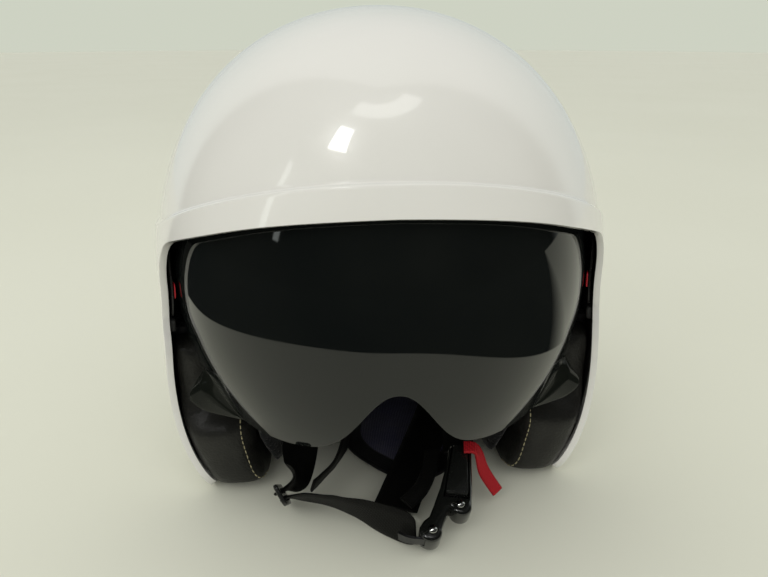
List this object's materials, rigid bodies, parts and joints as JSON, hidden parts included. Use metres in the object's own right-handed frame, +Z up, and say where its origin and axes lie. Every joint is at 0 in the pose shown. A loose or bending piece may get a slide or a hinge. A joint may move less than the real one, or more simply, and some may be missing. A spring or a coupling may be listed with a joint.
{
  "type": "open-face helmet",
  "caption": "Open-face protective helmet with a drop-down smoked visor, padded lining, webbing chin harness and quick-release ratchet buckle.",
  "frame": {"origin": "on the resting plane, under the middle of the part's bounding box", "axes": "+Z up, the helmet's front faces -Y, the wearer's right side is -X"},
  "size_m": [0.2602, 0.2813, 0.2619],
  "materials": {
    "anchor_rivet_left": "satin",
    "anchor_rivet_right": "satin",
    "buckle_housing": "gloss",
    "buckle_lever": "gloss",
    "buckle_rivet_long": "satin",
    "buckle_rivet_short": "satin",
    "cheek_cushion_left": "matte",
    "cheek_cushion_right": "matte",
    "cheek_foam_left": "matte",
    "cheek_foam_right": "matte",
    "cheek_panel_left": "satin",
    "cheek_panel_right": "satin",
    "chin_strap": "matte",
    "crown_pad": "matte",
    "friction_washer_left": "satin",
    "friction_washer_right": "satin",
    "harness_front_left": "matte",
    "harness_front_right": "matte",
    "harness_rear_left": "matte",
    "harness_rear_right": "matte",
    "impact_liner": "matte",
    "lever_pin": "satin",
    "neck_curtain": "matte",
    "neck_roll": "satin",
    "outer_shell": "gloss",
    "pivot_plate_left": "gloss",
    "pivot_plate_right": "gloss",
    "pivot_screw_left": "satin",
    "pivot_screw_right": "satin",
    "pull_tab": "satin",
    "ratchet_tongue": "satin",
    "side_cover_left": "gloss",
    "side_cover_right": "gloss",
    "strap_anchor_left": "satin",
    "strap_anchor_right": "satin",
    "strap_slider": "gloss",
    "strap_tail": "matte",
    "visor_hub_left": "gloss",
    "visor_hub_right": "gloss",
    "visor_lens": "polished",
    "visor_release_left": "gloss",
    "visor_release_right": "gloss",
    "visor_stop_left": "matte",
    "visor_stop_right": "matte"
  },
  "bodies": {
    "helmet": {"anchor_rivet_left": "anchor_rivet_left", "anchor_rivet_right": "anchor_rivet_right", "buckle_housing": "buckle_housing", "buckle_rivet_long": "buckle_rivet_long", "buckle_rivet_short": "buckle_rivet_short", "cheek_cushion_left": "cheek_cushion_left", "cheek_cushion_right": "cheek_cushion_right", "cheek_foam_left": "cheek_foam_left", "cheek_foam_right": "cheek_foam_right", "cheek_panel_left": "cheek_panel_left", "cheek_panel_right": "cheek_panel_right", "chin_strap": "chin_strap", "crown_pad": "crown_pad", "friction_washer_left": "friction_washer_left", "friction_washer_right": "friction_washer_right", "harness_front_left": "harness_front_left", "harness_front_right": "harness_front_right", "harness_rear_left": "harness_rear_left", "harness_rear_right": "harness_rear_right", "impact_liner": "impact_liner", "lever_pin": "lever_pin", "neck_curtain": "neck_curtain", "neck_roll": "neck_roll", "outer_shell": "outer_shell", "pivot_plate_left": "pivot_plate_left", "pivot_plate_right": "pivot_plate_right", "pivot_screw_left": "pivot_screw_left", "pivot_screw_right": "pivot_screw_right", "ratchet_tongue": "ratchet_tongue", "side_cover_left": "side_cover_left", "side_cover_right": "side_cover_right", "strap_anchor_left": "strap_anchor_left", "strap_anchor_right": "strap_anchor_right", "strap_slider": "strap_slider", "strap_tail": "strap_tail", "visor_stop_left": "visor_stop_left", "visor_stop_right": "visor_stop_right"},
    "visor": {"visor_lens": "visor_lens", "visor_hub_right": "visor_hub_right", "visor_hub_left": "visor_hub_left"},
    "release_right": {"visor_release_right": "visor_release_right"},
    "release_left": {"visor_release_left": "visor_release_left"},
    "buckle_catch": {"buckle_lever": "buckle_lever"},
    "release_strap": {"pull_tab": "pull_tab"}
  },
  "joints": [
    {"name": "visor_pivot", "type": "hinge", "parent": "helmet", "child": "visor", "pos_m": [0, -0.002, 0.118], "axis": [-1, 0, 0], "range_deg": [0, 46]},
    {"name": "release_right_slide", "type": "slide", "parent": "helmet", "child": "release_right", "axis": [0, 0, 1], "range_m": [0, 0.003], "stiffness_N_per_m": 200, "springref_m": -0.001},
    {"name": "release_left_slide", "type": "slide", "parent": "helmet", "child": "release_left", "axis": [0, 0, 1], "range_m": [0, 0.003], "stiffness_N_per_m": 200, "springref_m": -0.001},
    {"name": "buckle_catch_hinge", "type": "hinge", "parent": "helmet", "child": "buckle_catch", "pos_m": [0.03408, -0.11001, 0.01632], "axis": [0.9872, -0.126, -0.0981], "range_deg": [0, 28], "stiffness_Nm_per_rad": 0.06, "springref_deg": -11.46},
    {"name": "release_strap_hinge", "type": "hinge", "parent": "buckle_catch", "child": "release_strap", "pos_m": [0.0421, -0.08831, 0.03141], "axis": [-0.1517, -0.9321, -0.3291], "range_deg": [0, 70]}
  ]
}
